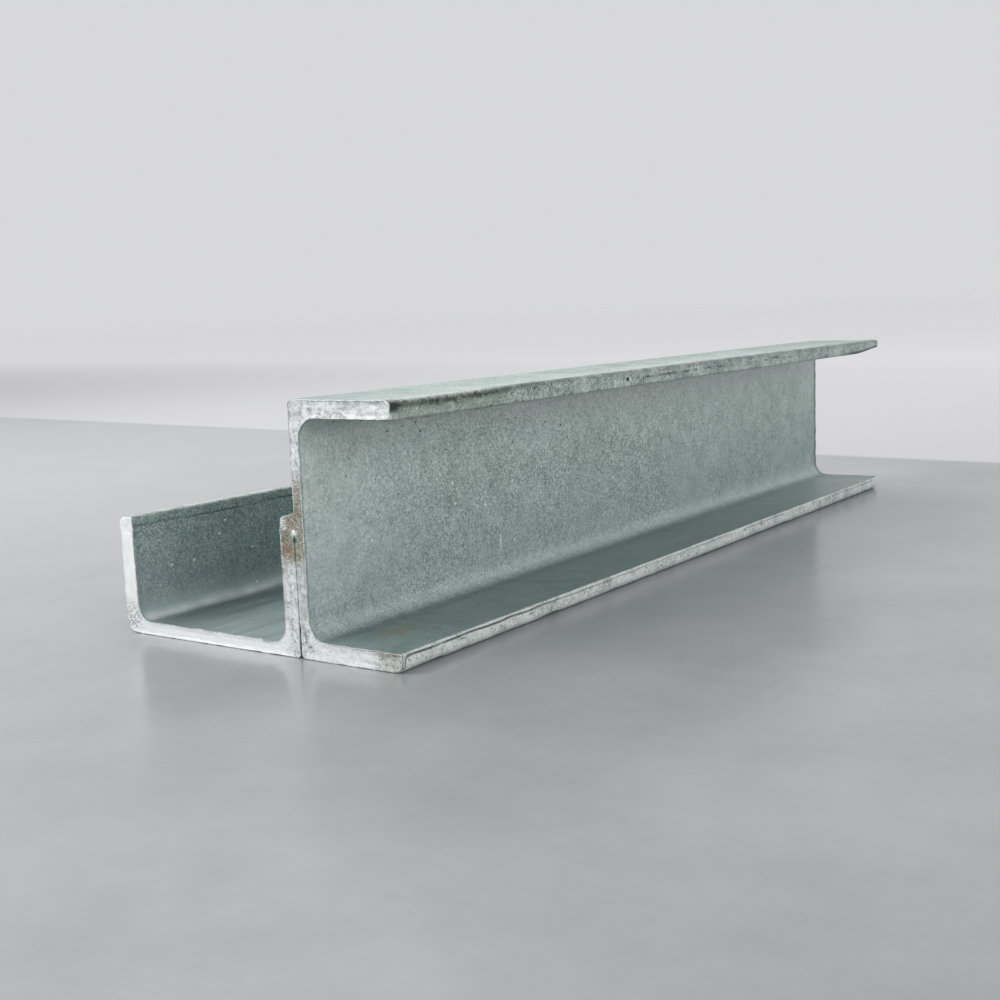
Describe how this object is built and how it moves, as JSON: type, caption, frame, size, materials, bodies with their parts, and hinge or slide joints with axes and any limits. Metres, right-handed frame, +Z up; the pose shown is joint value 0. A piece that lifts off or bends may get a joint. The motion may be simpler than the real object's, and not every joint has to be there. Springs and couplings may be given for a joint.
{
  "type": "steel retaining wall corner post",
  "caption": "Galvanised corner post for a retaining wall: like steel channels stitch-welded at a right angle, each open slot holding the ends of one wall's boards.",
  "frame": {"origin": "middle of the footprint, on the floor, with the post lying as in the picture", "axes": "+Y along the post away from the pictured end, +X to the standing channel's open side, +Z up from the floor to the standing channel's top flange"},
  "size_m": [0.1504, 0.52, 0.1],
  "materials": {
    "galvanised_steel": "hot-dip galvanised, dull grey-green and mottled",
    "galvanised_weld": "hot-dip galvanised weld metal with a little rust bleed"
  },
  "bodies": {
    "root": {"standing_channel": "galvanised_steel", "lying_channel": "galvanised_steel", "toe_weld_1": "galvanised_weld", "toe_weld_2": "galvanised_weld", "toe_weld_3": "galvanised_weld"}
  },
  "joints": []
}
